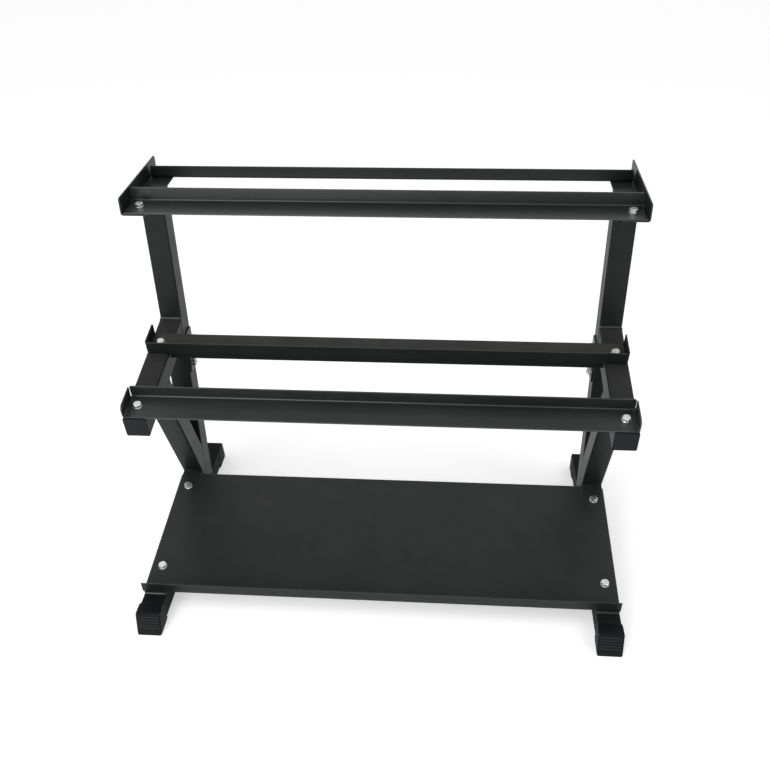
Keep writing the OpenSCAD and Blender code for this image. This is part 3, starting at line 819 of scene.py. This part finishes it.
def bolt(bm, length):
    """A bolt whose tail ends at z = 0 and whose head ends at z = length."""
    made = bmesh.new()
    head(made)
    bmesh.ops.translate(made, verts=made.verts, vec=(0, 0, length - HEAD_HEIGHT))
    add_all(bm, made)
    thread(made, 0.0, TAIL + TAIL_OVERLAP)
    add_all(bm, made)
    smooth = length - HEAD_HEIGHT - TAIL
    bmesh.ops.create_cone(
        made,
        cap_ends=True,
        segments=SHANK_SIDES,
        radius1=BOLT_RADIUS - SHANK_SLACK,
        radius2=BOLT_RADIUS - SHANK_SLACK,
        depth=smooth,
        matrix=Matrix.Translation((0, 0, TAIL + smooth / 2 + SHANK_LIFT)),
    )
    add_all(bm, made)
    made.free()


def add_all(bm, made):
    """Copies everything in one bmesh into another and empties the first."""
    carrier = bpy.data.meshes.new("carrier")
    bmesh.ops.recalc_face_normals(made, faces=made.faces)
    made.to_mesh(carrier)
    bm.from_mesh(carrier)
    bpy.data.meshes.remove(carrier)
    made.clear()


print("thread", PITCH / MM, "mm in pitch and", THREAD_DEPTH / MM, "mm deep")

# %% [markdown]
# ## Fasteners in their places
#
# Nobody lines up the corners of bolts when tightening them, so every bolt and
# nut is turned by chance, from a fixed seed that gives the same turns each time.
# Four alike pieces are joined in one mesh, which replaces the one from CAD.

# %% Put the fasteners in place
TURN_SEED = 5
chance = random.Random(TURN_SEED)


def fasten(node, up, make):
    bm = bmesh.new()
    for foot, axis, height in places_of(node, up):
        made = bmesh.new()
        make(made, height)
        bmesh.ops.recalc_face_normals(made, faces=made.faces)
        spin = Matrix.Rotation(chance.uniform(0, pi / 3), 4, "Z")
        stand = axis.to_track_quat("Z", "Y").to_matrix().to_4x4()
        move = Matrix.Translation(foot) @ stand @ spin
        bmesh.ops.transform(made, matrix=move, verts=made.verts)
        add_all(bm, made)
        made.free()
    piece = finish_mesh(bm, node + "_zinc", zinc)
    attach(piece, "root")
    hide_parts(node)
    return piece


for tier, up in TIERS.items():
    fasten(tier + "_bolts", up, bolt)
    fasten(tier + "_washers", up, washer)
    fasten(tier + "_nuts", up, nut)
    print("fastened:", tier)

# %% [markdown]
# ## Weld beads
#
# A weld bead is a row of frozen ripples. The welder's hand moves on a step at a
# time, and each pool sets as a crescent over the last one. Paint softens them
# but doesn't hide them. A bead starts as a flat grid, which is rolled into a
# rope: one side of the grid runs along the joint and the other round it. The
# rope swells and narrows with each ripple, and its ends close to a point. Half
# of it is buried in the tubes. Where a tube stands on another as wide as
# itself, the rope is sunk deeper, so that only a low band stands proud.

# %% Weld beads
RIPPLE = 2.4 * MM
RIPPLE_SWELL, RIPPLE_BOW = 0.06, 0.3
BEAD_STEP = 0.4 * MM
BEAD_ROUND = 16
END_TAPER = 3.5 * MM


def bead(bm, start, end, radius):
    length = (end - start).length
    along = (end - start).normalized()
    side = along.orthogonal().normalized()
    other = along.cross(side)
    steps = int(length / BEAD_STEP)
    made = bmesh.new()
    bmesh.ops.create_grid(made, x_segments=steps, y_segments=BEAD_ROUND, size=1)
    for vert in made.verts:
        reach = (vert.co.x + 1) / 2 * length
        angle = vert.co.y * pi
        bowed = reach + RIPPLE_BOW * radius * cos(angle)
        swell = 1 + RIPPLE_SWELL * abs(sin(pi * bowed / RIPPLE))
        inside = min(reach, length - reach) / END_TAPER
        taper = sqrt(max(0.0, 1 - (1 - min(inside, 1.0)) ** 2))
        r = radius * swell * taper
        out = side * (r * cos(angle)) + other * (r * sin(angle))
        vert.co = start + along * reach + out
    bmesh.ops.remove_doubles(made, verts=made.verts, dist=WELD_DISTANCE)
    add_all(bm, made)
    made.free()


print("one ripple every", RIPPLE / MM, "mm, swelling by", RIPPLE_SWELL)

# %% [markdown]
# ## Where the welds run
#
# The joints are found from the boxes of the CAD pieces: the faces of the post,
# the top of the base tube, the slope of the arm, and the lean of the brace. A
# bead runs across each joint from side to side. On the flush sides of the frame
# four more, sunk in, follow the arm's end and the post's foot.

# %% Weld the side frames
CAD_BEAD = 5 * MM
JOINT_BEAD = 5.15 * MM
SMALL_BEAD = 3.6 * MM
SEAM_BEAD = 4 * MM
SEAM_SUNK = 2.7 * MM
LOW_SUNK = 1 * MM
END_ROOM = 0.5 * MM
BRACE_FOOT = 57 * MM


def weld_frame(side):
    post_low, post_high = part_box("upper_post_" + side)
    base_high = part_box("base_tube_" + side)[1]
    arm_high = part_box("arm_" + side)[1]
    brace_low, brace_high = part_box("brace_" + side)
    bearer_low, bearer_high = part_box("shelf_bearer_" + side)
    tube = post_high.y - post_low.y
    front, rear, floor_level = post_low.y, post_high.y, base_high.z
    arm_top = arm_high.z - CAD_BEAD
    arm_under = arm_top - tube / cos(MIDDLE_SLOPE)
    head_level = arm_under - (front - brace_low.y) * tan(MIDDLE_SLOPE)
    heel_y = front - (arm_under - brace_high.z) / tan(MIDDLE_SLOPE)
    lean = atan2(front - brace_low.y, head_level - BRACE_FOOT)
    crotch = BRACE_FOOT + tube / sin(lean)
    bm = bmesh.new()
    left, right = post_low.x + END_ROOM, post_high.x - END_ROOM
    across = [
        (front, arm_top, JOINT_BEAD),
        (front, arm_under, SMALL_BEAD),
        (front, crotch, SMALL_BEAD),
        (front - LOW_SUNK, floor_level, SMALL_BEAD),
        (rear, floor_level, JOINT_BEAD),
        (front, post_high.z, SMALL_BEAD),
        (rear, post_high.z, SMALL_BEAD),
        (brace_low.y, head_level, SMALL_BEAD),
        (heel_y, brace_high.z, SMALL_BEAD),
        (bearer_low.y + CAD_BEAD, floor_level, JOINT_BEAD),
        (bearer_high.y - CAD_BEAD, floor_level, JOINT_BEAD),
    ]
    beads = [((left, y, z), (right, y, z), radius) for y, z, radius in across]
    seam_level = floor_level - LOW_SUNK
    for x in (post_low.x + SEAM_SUNK, post_high.x - SEAM_SUNK):
        beads.append(((x, front, arm_under), (x, front, arm_top), SEAM_BEAD))
        beads.append(((x, front, seam_level), (x, rear, seam_level), SEAM_BEAD))
    for start, end, radius in beads:
        bead(bm, Vector(start), Vector(end), radius)
    piece = finish_mesh(bm, "weld_beads_" + side, coats["coat_over_welds"])
    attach(piece, "root")
    return len(beads), len(piece.data.polygons)


for side in PAIRS:
    print("weld beads and faces,", side, weld_frame(side))
